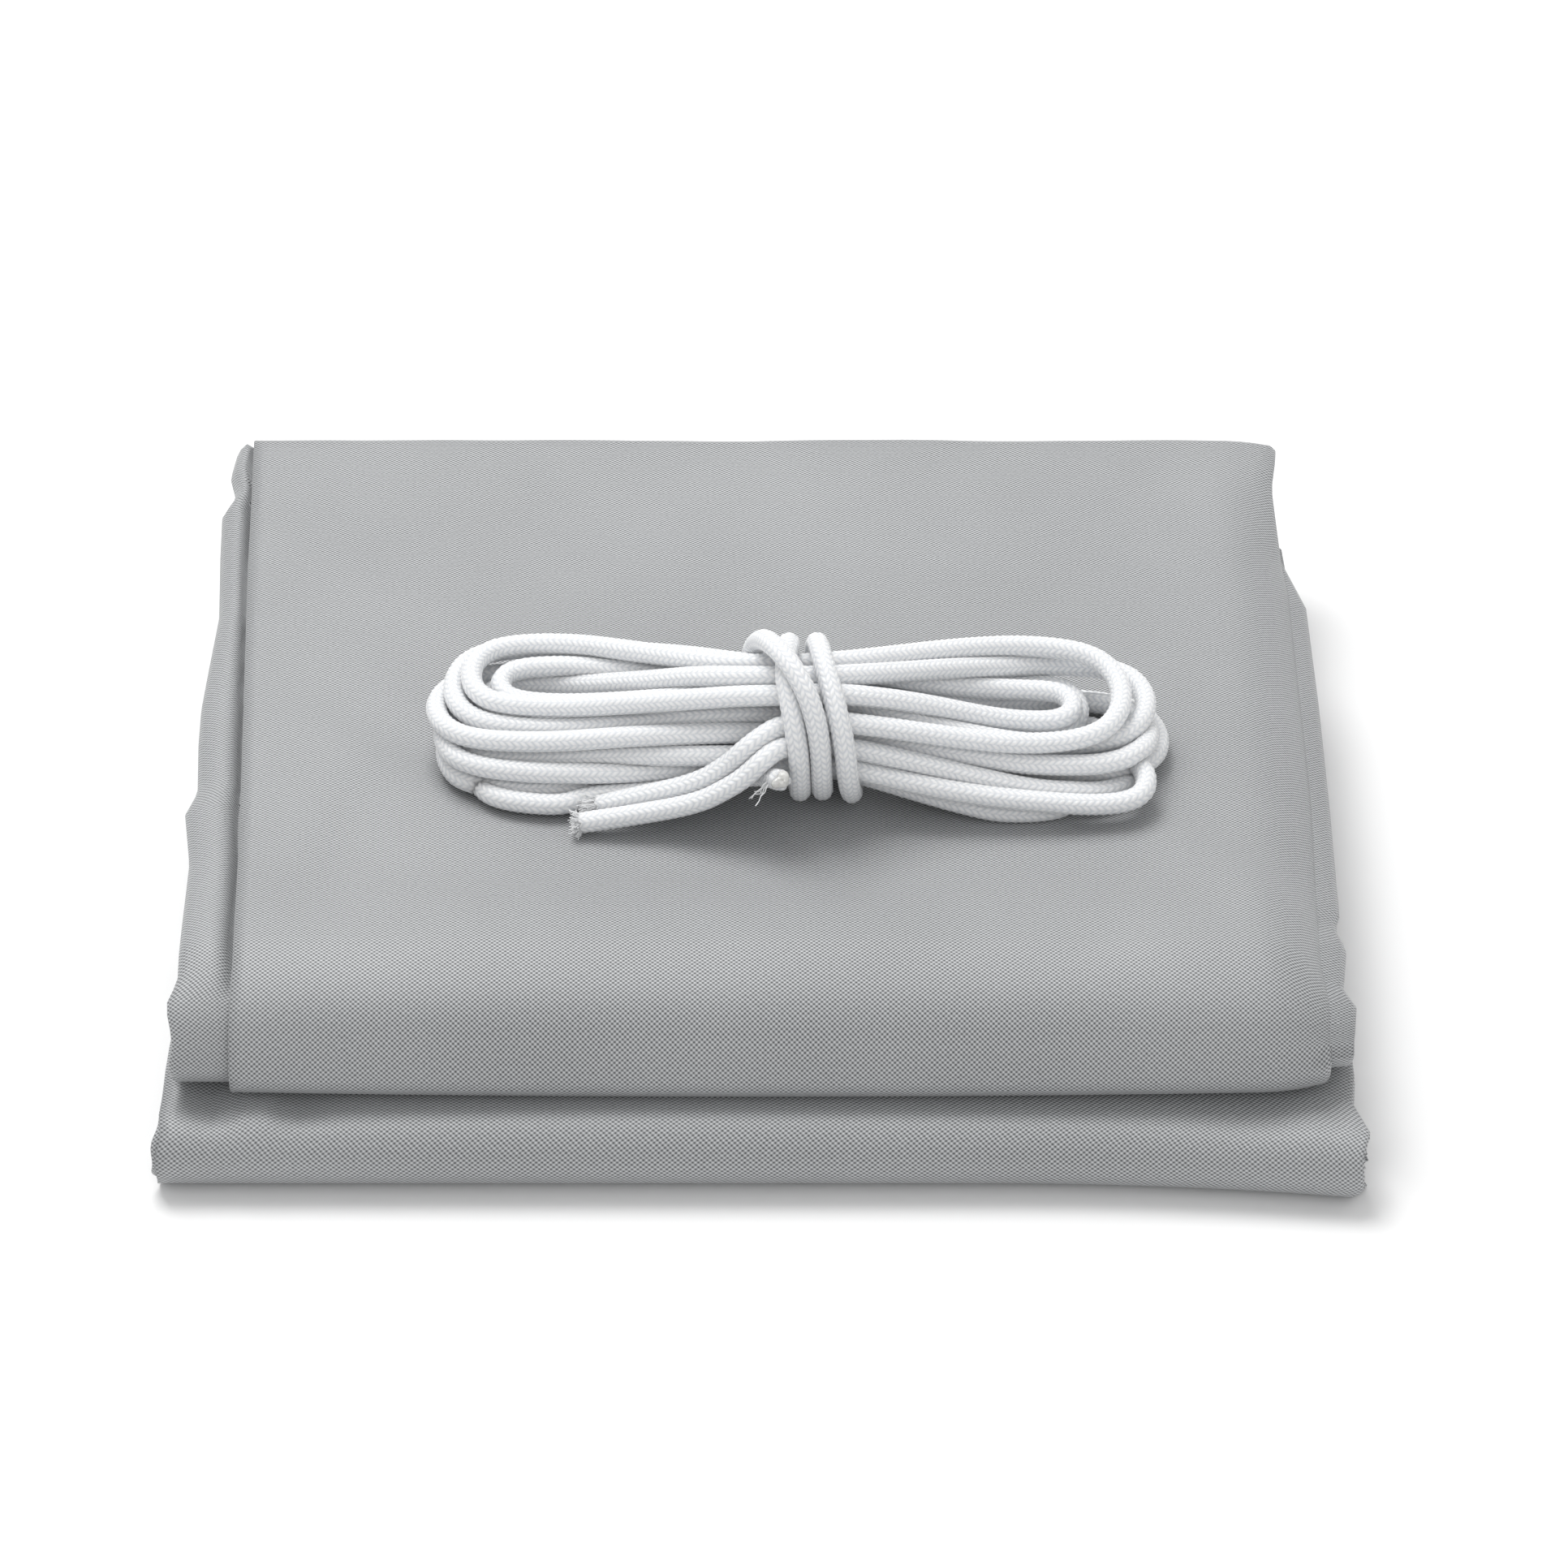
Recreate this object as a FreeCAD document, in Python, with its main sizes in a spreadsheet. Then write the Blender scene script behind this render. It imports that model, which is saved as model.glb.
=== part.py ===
import FreeCAD
import Part
import math
import os
import Sketcher

# A cloth cover folded into a flat packet, with two braided cords wound together into one
# hank that is tied round its own waist and lies on the packet.
# Millimetres, +Z up. The origin is the middle of the packet's footprint, on the surface that
# it lies on. -Y is the side of the two rounded front folds.

Vector = FreeCAD.Vector

doc = FreeCAD.newDocument("folded_cover_and_cords")
sheet = doc.addObject("Spreadsheet::Sheet", "sizes")

# The packet: a lower and an upper stack of layers, each rounded where the cloth turns.
COVER_SIZES = {
    "lower_width": 236.0,
    "lower_front": -109.2,
    "lower_thickness": 16.0,
    "upper_width": 232.0,
    "upper_front": -99.1,
    "upper_thickness": 21.2,
    "packet_back": 109.2,
    "flap_thickness": 4.5,
    "flap_left_back": -114.8,
    "flap_left_front": -103.1,
    "flap_right_back": 115.4,
    "flap_right_front": 110.2,
    "cut_margin": 12.0,
}

# The cords, and where the hank's own zero lies on the packet.
CORD_SIZES = {
    "cord_diameter": 4.5,
    "hank_gap": 0.3,
    "melted_end_length": 5.0,
    "melted_end_across": -36.0,
    "melted_end_lift": 9.8,
}

# Cross-sections of the hank from its left end to its right: the place along X, the near and
# the far side along Y, half the thickness, and how high the section is above the packet.
STATIONS = {
    "left_tip": (-69.0, -27.7, 2.3, 4.5, 0.8),
    "left_bend": (-58.0, -31.0, 6.8, 6.5, 0.2),
    "left_lobe": (-46.0, -32.4, 9.8, 7.0, 0.2),
    "left_middle": (-33.0, -29.6, 7.0, 8.0, 0.6),
    "left_neck": (-18.0, -30.8, 0.5, 9.8, 2.6),
    "left_waist": (-2.5, -35.6, -10.8, 11.6, 5.1),
    "right_waist": (18.0, -35.6, -10.8, 11.6, 5.1),
    "right_neck": (37.0, -35.2, 0.8, 9.5, 1.4),
    "right_lobe": (57.0, -39.7, 6.8, 7.5, 0.2),
    "right_bend": (73.0, -36.2, 5.8, 6.5, 0.2),
    "right_tip": (84.2, -25.2, -3.2, 4.5, 0.6),
}
STATION_FIELDS = ("along", "near", "far", "half", "lift")

# Routes of the two free tails from the wrap to their cut ends: X, Y and the height above the
# packet. No three points are in line, and the runs are about two to three diameters long.
NEAR_TAIL = [
    (-2.5, -38.0, 14.6),
    (-10.5, -38.0, 14.6),
    (-18.0, -39.5, 10.9),
    (-26.0, -40.9, 5.4),
    (-36.4, -38.9, 2.8),
]
FAR_TAIL = [
    (-2.5, -38.0, 20.5),
    (-9.0, -38.0, 20.5),
    (-15.5, -37.7, 18.2),
    (-22.0, -36.4, 13.0),
    (-28.5, -34.6, 7.2),
    (-34.8, -32.6, 3.4),
]
ARC_SHARE = 0.45


def fill_sheet():
    """Writes every driving dimension into the sheet as a plain number with an alias."""
    rows = dict(COVER_SIZES)
    rows.update(CORD_SIZES)
    for station, numbers in STATIONS.items():
        for field, number in zip(STATION_FIELDS, numbers):
            rows[f"{station}_{field}"] = number
    for row, (alias, number) in enumerate(rows.items(), start=1):
        sheet.set(f"A{row}", alias)
        sheet.set(f"B{row}", str(number))
        sheet.setAlias(f"B{row}", alias)
    doc.recompute()


def size(alias):
    """The value of one cell of the sheet."""
    return float(sheet.get(alias))


def value(expression):
    """What an expression on the sheet's cells comes to."""
    return float(sheet.evalExpression(expression))


def new_body(label):
    """An empty body whose label is the sub-part's name."""
    body = doc.addObject("PartDesign::Body", label)
    body.Label = label
    return body


def new_sketch(body, name, plane_role):
    """A sketch on one of the body's own origin planes."""
    sketch = body.newObject("Sketcher::SketchObject", name)
    plane = next(f for f in body.Origin.OriginFeatures if f.Role == plane_role)
    sketch.AttachmentSupport = [(plane, "")]
    sketch.MapMode = "FlatFace"
    return sketch


def bind(sketch, constraint, expression):
    """Adds a dimension to a sketch and binds its value to the sheet."""
    index = sketch.addConstraint(constraint)
    sketch.setExpression(f"Constraints[{index}]", expression)


def add_slot(sketch, first, span, height, half):
    """Adds an outline with straight top and bottom and half-round ends.

    first is the first end's centre, span the distance between the centres, height the
    centres' height, and half the radius of the ends; all are expressions.
    """
    start = len(sketch.Geometry)
    near, level, radius = value(first), value(height), value(half)
    far = near + value(span)
    up = Vector(0, 0, 1)
    quarter = math.pi / 2
    near_circle = Part.Circle(Vector(near, level, 0), up, radius)
    far_circle = Part.Circle(Vector(far, level, 0), up, radius)
    sketch.addGeometry(Part.ArcOfCircle(near_circle, quarter, 3 * quarter))
    sketch.addGeometry(Part.ArcOfCircle(far_circle, -quarter, quarter))
    low, high = level - radius, level + radius
    sketch.addGeometry(Part.LineSegment(Vector(near, low, 0), Vector(far, low, 0)))
    sketch.addGeometry(Part.LineSegment(Vector(far, high, 0), Vector(near, high, 0)))
    left, right, bottom, top = range(start, start + 4)
    rule = Sketcher.Constraint
    sketch.addConstraint(rule("Tangent", left, 2, bottom, 1))
    sketch.addConstraint(rule("Tangent", bottom, 2, right, 1))
    sketch.addConstraint(rule("Tangent", right, 2, top, 1))
    sketch.addConstraint(rule("Tangent", top, 2, left, 1))
    sketch.addConstraint(rule("Horizontal", bottom))
    bind(sketch, rule("Radius", left, radius), half)
    bind(sketch, rule("DistanceX", left, 3, right, 3, far - near), span)
    bind(sketch, rule("DistanceX", -1, 1, left, 3, near), first)
    bind(sketch, rule("DistanceY", -1, 1, left, 3, level), height)


def add_quad(sketch, corners):
    """Adds a four-sided outline whose corners are pairs of expressions."""
    start = len(sketch.Geometry)
    guesses = [tuple(value(e) for e in corner) for corner in corners]
    for here, there in zip(guesses, guesses[1:] + guesses[:1]):
        sketch.addGeometry(Part.LineSegment(Vector(*here, 0), Vector(*there, 0)))
    for number, (across, along) in enumerate(corners):
        edge = start + number
        after = start + (number + 1) % 4
        sketch.addConstraint(Sketcher.Constraint("Coincident", edge, 2, after, 1))
        bind(sketch, Sketcher.Constraint("DistanceX", -1, 1, edge, 1, guesses[number][0]), across)
        bind(sketch, Sketcher.Constraint("DistanceY", -1, 1, edge, 1, guesses[number][1]), along)


def pad(body, sketch, length, name):
    """A pad to both sides of its sketch."""
    feature = body.newObject("PartDesign::Pad", name)
    feature.Profile = sketch
    feature.SideType = "Symmetric"
    feature.setExpression("Length", length)
    return feature


def make_cover():
    """The folded packet: two rounded stacks, and the narrower flap that ends on top."""
    body = new_body("cover")

    lower = new_sketch(body, "lower_outline", "YZ_Plane")
    radius = "sizes.lower_thickness / 2"
    span = "sizes.packet_back - sizes.lower_front - sizes.lower_thickness"
    add_slot(lower, f"sizes.lower_front + {radius}", span, radius, radius)
    pad(body, lower, "sizes.lower_width", "lower_stack")
    doc.recompute()

    upper = new_sketch(body, "upper_outline", "YZ_Plane")
    radius = "sizes.upper_thickness / 2"
    span = "sizes.packet_back - sizes.upper_front - sizes.upper_thickness"
    height = f"sizes.lower_thickness + {radius}"
    add_slot(upper, f"sizes.upper_front + {radius}", span, height, radius)
    pad(body, upper, "sizes.upper_width", "upper_stack")
    doc.recompute()
    whole = body.Shape.Volume

    steps = new_sketch(body, "flap_edges", "XY_Plane")
    steps.setExpression(
        "AttachmentOffset.Base.z", "sizes.lower_thickness + sizes.upper_thickness"
    )
    back = "sizes.packet_back + sizes.cut_margin"
    front = "sizes.lower_front - sizes.cut_margin"
    left = "sizes.flap_left_front - sizes.cut_margin - sizes.cut_margin"
    right = "sizes.flap_right_front + sizes.cut_margin + sizes.cut_margin"
    add_quad(
        steps,
        [
            (left, back),
            ("sizes.flap_left_back", back),
            ("sizes.flap_left_front", front),
            (left, front),
        ],
    )
    add_quad(
        steps,
        [
            ("sizes.flap_right_back", back),
            (right, back),
            (right, front),
            ("sizes.flap_right_front", front),
        ],
    )
    pocket = body.newObject("PartDesign::Pocket", "flap_steps")
    pocket.Profile = steps
    pocket.setExpression("Length", "sizes.flap_thickness")
    doc.recompute()
    if body.Shape.Volume > whole - 1.0:
        raise RuntimeError("the flap's steps cut nothing")
    return body


def hank_floor():
    """The height that the hank's own heights are counted from, as an expression."""
    return "sizes.lower_thickness + sizes.upper_thickness + sizes.hank_gap"


def station_slot(sketch, station, grow=""):
    """Adds one cross-section of the hank to a sketch, made thicker all round by grow."""
    name = f"sizes.{station}"
    extra = f" + {grow}" if grow else ""
    add_slot(
        sketch,
        f"{name}_near + {name}_half",
        f"{name}_far - {name}_near - 2 * {name}_half",
        f"{hank_floor()} + {name}_lift + {name}_half",
        f"{name}_half{extra}",
    )


def make_cord_turns():
    """The outer shape of the wound turns: a lobe at each end and the tied waist."""
    body = new_body("cord_turns")
    sections = []
    for station in STATIONS:
        sketch = new_sketch(body, f"section_{station}", "YZ_Plane")
        sketch.setExpression("AttachmentOffset.Base.z", f"sizes.{station}_along")
        station_slot(sketch, station)
        sections.append(sketch)
    doc.recompute()
    loft = body.newObject("PartDesign::AdditiveLoft", "turns_outline")
    loft.Profile = (sections[0], [""])
    loft.Sections = [(sketch, [""]) for sketch in sections[1:]]
    loft.Ruled = True
    return body


def make_waist_wrap():
    """The band of cord turns round the hank's waist, one cord thick."""
    body = new_body("waist_wrap")
    sketch = new_sketch(body, "wrap_section", "YZ_Plane")
    sketch.setExpression(
        "AttachmentOffset.Base.z", "(sizes.left_waist_along + sizes.right_waist_along) / 2"
    )
    station_slot(sketch, "left_waist", "sizes.cord_diameter")
    station_slot(sketch, "left_waist")
    doc.recompute()
    pad(body, sketch, "sizes.right_waist_along - sizes.left_waist_along", "wrap_band")
    return body


def rounded_path(points):
    """Straight runs joined by tangent arcs, and the arcs' radii."""
    edges = []
    radii = []
    last = points[0]
    for before, corner, after in zip(points, points[1:], points[2:]):
        towards = (before - corner).normalize()
        onward = (after - corner).normalize()
        inside = towards.getAngle(onward)
        setback = ARC_SHARE * min((before - corner).Length, (after - corner).Length)
        radius = setback * math.tan(inside / 2)
        middle = (towards + onward).normalize()
        depth = radius / math.sin(inside / 2) - radius
        start = corner + towards * setback
        end = corner + onward * setback
        edges.append(Part.LineSegment(last, start).toShape())
        edges.append(Part.Arc(start, corner + middle * depth, end).toShape())
        radii.append(radius)
        last = end
    edges.append(Part.LineSegment(last, points[-1]).toShape())
    return Part.Wire(edges), radii


def make_tail(label, route):
    """A free cord tail as a round tube along its route."""
    floor = size("lower_thickness") + size("upper_thickness") + size("hank_gap")
    radius = size("cord_diameter") / 2
    points = [Vector(along, across, floor + lift) for along, across, lift in route]
    path, radii = rounded_path(points)
    ring = Part.Wire(Part.Circle(points[0], points[1] - points[0], radius).toShape())
    tube = path.makePipeShell([ring], True, True)
    wanted = math.pi * radius**2 * path.Length
    print(f"{label}: length {path.Length:.1f}, arc radii {[round(r, 1) for r in radii]}")
    print(f"{label}: volume {tube.Volume:.1f} of {wanted:.1f}")
    tail = doc.addObject("Part::Feature", label)
    tail.Label = label
    tail.Shape = tube
    tail.Placement = FreeCAD.Placement()
    return tail


def make_melted_end():
    """The short end that pokes out of the bundle beside the wrap."""
    label = "melted_end"
    stub = doc.addObject("Part::Cylinder", label)
    stub.Label = label
    stub.setExpression("Radius", "sizes.cord_diameter / 2")
    stub.setExpression("Height", "sizes.melted_end_length")
    stub.Placement = FreeCAD.Placement(Vector(), FreeCAD.Rotation(Vector(0, 1, 0), -90))
    stub.setExpression("Placement.Base.x", "sizes.left_waist_along")
    stub.setExpression("Placement.Base.y", "sizes.melted_end_across")
    stub.setExpression("Placement.Base.z", f"{hank_floor()} + sizes.melted_end_lift")
    return stub


def check(subparts):
    """Stops the script if any object failed or any sub-part has no sound solid."""
    for item in doc.Objects:
        if "Invalid" in item.State or "Error" in item.State:
            raise RuntimeError(f"{item.Label} failed: {item.State}")
    for subpart in subparts:
        shape = subpart.Shape
        if shape.isNull() or not shape.isValid() or len(shape.Solids) != 1:
            raise RuntimeError(f"{subpart.Label} is not one sound solid")


fill_sheet()
subparts = [
    make_cover(),
    make_cord_turns(),
    make_waist_wrap(),
    make_tail("near_tail", NEAR_TAIL),
    make_tail("far_tail", FAR_TAIL),
    make_melted_end(),
]
doc.recompute()
check(subparts)
os.makedirs("parts", exist_ok=True)
for subpart in subparts:
    subpart.Shape.exportStep(f"parts/{subpart.Label}.step")
    box = subpart.Shape.BoundBox
    print(
        f"{subpart.Label}: X {box.XMin:.1f} {box.XMax:.1f}, Y {box.YMin:.1f} {box.YMax:.1f}, "
        f"Z {box.ZMin:.1f} {box.ZMax:.1f}, volume {subpart.Shape.Volume:.0f}"
    )
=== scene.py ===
import math

import bmesh
import bpy
import numpy as np
from mathutils import Matrix, Vector


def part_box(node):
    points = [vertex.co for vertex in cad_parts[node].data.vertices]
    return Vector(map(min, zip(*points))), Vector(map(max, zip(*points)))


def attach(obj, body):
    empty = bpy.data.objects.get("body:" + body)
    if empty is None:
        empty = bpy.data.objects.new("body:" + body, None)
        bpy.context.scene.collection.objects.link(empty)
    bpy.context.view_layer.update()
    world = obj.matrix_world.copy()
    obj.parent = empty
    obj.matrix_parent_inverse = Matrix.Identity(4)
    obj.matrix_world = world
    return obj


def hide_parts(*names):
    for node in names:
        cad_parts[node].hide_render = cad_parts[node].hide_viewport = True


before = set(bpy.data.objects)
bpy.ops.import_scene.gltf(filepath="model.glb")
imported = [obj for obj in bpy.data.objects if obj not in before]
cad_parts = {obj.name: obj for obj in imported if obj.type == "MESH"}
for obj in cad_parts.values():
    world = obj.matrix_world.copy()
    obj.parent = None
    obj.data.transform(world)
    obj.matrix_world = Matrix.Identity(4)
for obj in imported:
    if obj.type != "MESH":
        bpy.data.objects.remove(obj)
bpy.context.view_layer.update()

# A folded weather cover of woven polyester, with two braided cords wound into one hank and
# tied round the waist. Lengths in this file are metres unless a name ends in _MM.
MM = 0.001

# Where the hank lies: its own zero is on top of the packet, under the tied waist.
COVER_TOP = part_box("cover")[1][2]
HANK_X_MM, HANK_Y_MM = 5.05, -23.2
HANK_GAP = 0.3 * MM
HANK_ORIGIN = np.array([HANK_X_MM * MM, HANK_Y_MM * MM, COVER_TOP + HANK_GAP])

# ---------------------------------------------------------------- camera
VIEW_TILT = math.radians(35.5)
VIEW_DISTANCE = 1.048
VIEW_RISE = 1.3 * MM  # from the top of the packet to the middle of the view
VIEW_CENTRE = Vector((HANK_X_MM * MM, HANK_Y_MM * MM, COVER_TOP + VIEW_RISE))
VIEW_BACK = Vector((0, -math.cos(VIEW_TILT), math.sin(VIEW_TILT)))
SENSOR_MM = 36.0
LENS_MM = 117.4

camera_data = bpy.data.cameras.new("studio_camera")
camera_data.sensor_width = SENSOR_MM
camera_data.lens = LENS_MM
camera = bpy.data.objects.new("studio_camera", camera_data)
camera.location = VIEW_CENTRE + VIEW_DISTANCE * VIEW_BACK
camera.rotation_euler = (math.pi / 2 - VIEW_TILT, 0, 0)
bpy.context.collection.objects.link(camera)
bpy.context.scene.camera = camera

# ---------------------------------------------------------------- the cords' courses
CORD_MM = 4.5
AXIS_Y_MM, AXIS_Z_MM = 0.7, 17.2  # the waist's axis, from the hank's zero
NODE_STEP_MM = 4.0  # between two points of a turn while the cords settle

# The free tails, from their cut ends to the waist, as in the CAD part.
NEAR_TAIL = [
    (-0.0362, -0.0386, 0.0023),
    (-0.0255, -0.0386, 0.0042),
    (-0.0125, -0.0396, 0.0078),
    (-0.0060, -0.0396, 0.0118),
    (-0.0024, -0.0394, 0.0146),
    (0.0008, -0.0386, 0.0178),
    (0.0042, -0.0360, 0.0193),
]
FAR_TAIL = [
    (-0.0328, -0.0330, 0.0026),
    (-0.0255, -0.0337, 0.0051),
    (-0.0125, -0.0354, 0.0098),
    (-0.0060, -0.0352, 0.0144),
    (-0.0026, -0.0358, 0.0187),
    (0.0008, -0.0344, 0.0208),
    (0.0042, -0.0322, 0.0218),
]

# Each loop of a lobe: near side's y and height, far side's y and height, and how far out it
# reaches, in millimetres from the hank's zero.
RIGHT_LOOPS = {
    "a0": (-8.6, 5.2, 22.0, 3.0, 73.0),
    "a1": (-13.9, 2.3, 4.0, 2.3, 61.0),
    "a2": (-9.8, 4.0, 5.5, 6.2, 75.0),
    "a3": (0.0, 3.0, 16.0, 3.0, 66.0),
    "a4": (-2.2, 5.5, 28.0, 4.0, 77.0),
    "a5": (-5.6, 7.4, 26.0, 5.5, 75.0),
    "b0": (-4.8, 10.5, 25.6, 14.0, 70.1),
    "b1": (5.4, 11.2, 18.0, 12.2, 59.6),
    "b2": (4.8, 8.0, 22.0, 9.5, 62.0),
    "b3": (0.5, 7.4, 28.6, 8.5, 75.9),
}
LEFT_LOOPS = {
    "a0": (-3.4, 5.5, 25.0, 5.0, -70.5),
    "a1": (1.0, 3.0, 20.0, 2.6, -66.0),
    "a2": (-5.9, 3.0, 27.5, 2.6, -69.0),
    "a3": (6.0, 5.5, 18.0, 6.5, -63.0),
    "a4": (-0.8, 8.2, 28.6, 7.0, -71.0),
    "a5": (-7.2, 2.3, 22.5, 2.3, -66.0),
    "b0": (7.6, 13.5, 30.0, 14.5, -65.5),
    "b1": (3.2, 10.8, 31.5, 11.5, -70.0),
    "b2": (11.0, 11.5, 22.8, 12.5, -59.0),
    "b3": (8.0, 9.3, 25.4, 9.5, -62.5),
}
# Where each crossing passes through the waist, from its axis: distance and direction, with
# 0 degrees the far side, 90 the top and 180 the near side.
CROSSINGS_A = [
    (10.2, 180), (10.2, -41), (10.2, -125), (10.2, -69), (10.2, -152), (5.9, -50),
    (10.2, -97), (5.9, 0), (5.9, -105), (10.2, -14), (5.9, -160), (5.9, 50),
]
CROSSINGS_B = [
    (10.2, 152), (10.2, 69), (10.2, 125), (10.2, 41), (5.9, 150), (10.2, 14),
    (5.9, 100), (10.2, 97),
]
TURN_MM = 15.0  # the most that a loop's rounded end measures along the hank
TIGHT_TURN_MM = 8.0  # and the least, in a narrow loop
BOXY = 0.8  # a loop's end is a little squarer than an ellipse
BEND_DEGREES = (-60, -20, 20, 60)  # the points round a loop's end
GATHER_MM, SPREAD_MM = 8.0, 15.0  # a turn leaves the waist at the first and spreads from the second
BEFORE_BEND_MM = 6.0  # the last point of a run, before its loop's end
# Where the last turn of each cord heads in the waist, before it takes its own way: y and z.
LAST_HEADING_A, LAST_HEADING_B = (-12.0, 8.0), (-2.0, 6.0)
# The first cord's last stretch: along the packet, then up in front of the turns by the wraps.
MELTED_WAY = [
    (-43.0, -4.0, 3.6), (-28.0, -4.5, 6.0), (-16.0, -6.0, 10.0), (-8.5, -8.5, 13.0),
    (-5.0, -10.8, 14.2), (-3.0, -14.4, 15.4), (-1.2, -18.0, 16.4),
]
UNDER_WAIST = (-14.0, -1.0, 4.0)  # where the second cord dives under the hank to wrap it
WRAP_MM = 14.95  # from the waist's axis to the middle of the cord that is wrapped round it
WRAP_START, WRAP_STEP = 30, 14.0  # degrees: after the first place below, and between points
# The wraps: direction round the axis, place along the hank, and how much further out they lie.
WRAPS = [
    (-90, -9.0, 0.0), (0, -1.6, 0.0), (60, 0.4, 0.0), (90, -0.4, 0.0), (105, -1.0, 0.0),
    (120, -0.6, 0.0), (150, 1.0, 0.0), (180, 2.0, 0.0), (225, 2.6, 0.0), (270, 2.2, 0.0),
    (330, -3.5, 0.0), (360, -6.6, 0.0), (375, -7.4, 0.0), (390, -6.9, 0.0), (405, -5.8, 0.0),
    (420, -4.8, 0.0), (440, -4.0, 1.0), (455, -2.4, 2.6), (470, 0.2, 3.6), (485, 3.0, 3.0),
    (500, 5.0, 1.8), (520, 6.3, 0.6), (540, 6.6, 0.0), (585, 7.0, 0.0), (630, 6.8, 0.0),
    (690, 6.0, 0.0), (720, 5.2, 0.0), (745, 5.0, 0.0), (774, 5.2, 0.0), (805, 5.6, 0.0),
    (825, 6.4, 0.0), (845, 7.6, 0.0), (865, 8.8, 0.0), (885, 9.8, 0.0), (900, 10.0, 0.0),
    (945, 10.6, 0.0), (990, 10.4, 0.0), (1035, 7.0, 0.0), (1060, 5.0, -3.0),
]


def waist(crossing):
    """A crossing's y and z in the waist, in millimetres from the hank's zero."""
    out, degrees = crossing
    a = math.radians(degrees)
    return AXIS_Y_MM + out * math.cos(a), AXIS_Z_MM + out * math.sin(a)


def hank_mm(points):
    """Points in metres, with heights above the packet, as millimetres from the hank's zero."""
    return [(x / MM - HANK_X_MM, y / MM - HANK_Y_MM, z / MM) for x, y, z in points]


def lobe(loop, side, enter, leave, near_first):
    """One turn of cord: out of the waist, round a lobe and back into the waist."""
    near_y, near_z, far_y, far_z, reach = loop
    turn = min(TURN_MM, max(TIGHT_TURN_MM, 0.5 * abs(far_y - near_y)))
    centre = reach - side * turn
    # Places along the hank, with the share of its way across that the cord has made by then.
    stops = (
        (side * GATHER_MM, 0.0),
        (side * SPREAD_MM, 0.12),
        (side * 0.5 * (SPREAD_MM + abs(centre)), 0.68),
        (centre - side * BEFORE_BEND_MM, 0.97),
    )

    def run(slot, y, z):
        return [
            (x, slot[0] * (1 - f) + y * f, slot[1] * (1 - f) + z * f) for x, f in stops
        ]

    bend = []
    for degrees in BEND_DEGREES:
        angle = math.radians(degrees)
        mix = 0.5 + 0.5 * math.sin(angle)
        x = centre + side * turn * math.cos(angle) ** BOXY
        bend.append((x, near_y + (far_y - near_y) * mix, near_z + (far_z - near_z) * mix))
    if near_first:
        return run(enter, near_y, near_z) + bend + run(leave, far_y, far_z)[::-1]
    return run(enter, far_y, far_z) + bend[::-1] + run(leave, near_y, near_z)[::-1]


def turns(letter, crossings):
    """All the turns of one cord, one lobe after the other."""
    slots = [waist(c) for c in crossings]
    points = lobe(RIGHT_LOOPS[f"{letter}0"], 1, slots[0], slots[1], True)
    for k in range(len(slots) // 2 - 1):
        points += lobe(LEFT_LOOPS[f"{letter}{k}"], -1, slots[2 * k + 1], slots[2 * k + 2], False)
        points += lobe(
            RIGHT_LOOPS[f"{letter}{k + 1}"], 1, slots[2 * k + 2], slots[2 * k + 3], True
        )
    return points


def course_a():
    """The first cord's turns, from its tail to the melted end that pokes out by the wrap."""
    points = turns("a", CROSSINGS_A)
    last = lobe(LEFT_LOOPS["a5"], -1, waist(CROSSINGS_A[-1]), LAST_HEADING_A, False)
    return points + last[:-3] + MELTED_WAY


def course_b():
    """The second cord's turns, and the three wraps that it ends in round the waist."""
    points = turns("b", CROSSINGS_B)
    points += lobe(LEFT_LOOPS["b3"], -1, waist(CROSSINGS_B[-1]), LAST_HEADING_B, False)[:-2]
    points.append(UNDER_WAIST)
    degrees, along, out = zip(*WRAPS)
    for angle in np.arange(degrees[0] + WRAP_START, degrees[-1], WRAP_STEP):
        radius = WRAP_MM + float(np.interp(angle, degrees, out))
        a = math.radians(angle)
        x = float(np.interp(angle, degrees, along))
        points.append((x, AXIS_Y_MM + radius * math.cos(a), AXIS_Z_MM + radius * math.sin(a)))
    return points


def even(points, step):
    """Points the same distance apart on a smooth line through the middles of the runs."""
    p = np.array(points, float)
    middle = 0.5 * (p[:-1] + p[1:])
    middle[0], middle[-1] = p[0], p[-1]
    t = np.linspace(0, 1, 9)[1:, None]  # eight places on each bend
    line = [p[:1]]
    for i in range(1, len(p) - 1):
        line.append((1 - t) ** 2 * middle[i - 1] + 2 * t * (1 - t) * p[i] + t * t * middle[i])
    line = np.concatenate(line)
    along = np.r_[0, np.cumsum(np.linalg.norm(np.diff(line, axis=0), axis=1))]
    at = np.linspace(0, along[-1], int(round(along[-1] / step)) + 1)
    return np.stack([np.interp(at, along, line[:, k]) for k in range(3)], 1)


TINY = 1e-9


def nearest(p1, q1, p2, q2):
    """How far along two sets of segments their nearest points are."""
    d1, d2, r = q1 - p1, q2 - p2, p1 - p2
    a, e, f = (d1 * d1).sum(1), (d2 * d2).sum(1), (d2 * r).sum(1)
    c, b = (d1 * r).sum(1), (d1 * d2).sum(1)
    spread = a * e - b * b
    s = np.where(spread > TINY, np.clip((b * f - c * e) / np.maximum(spread, TINY), 0, 1), 0.5)
    t = (b * s + f) / e
    held = np.clip(t, 0, 1)
    return np.where(t != held, np.clip((b * held - c) / a, 0, 1), s), held


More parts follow.
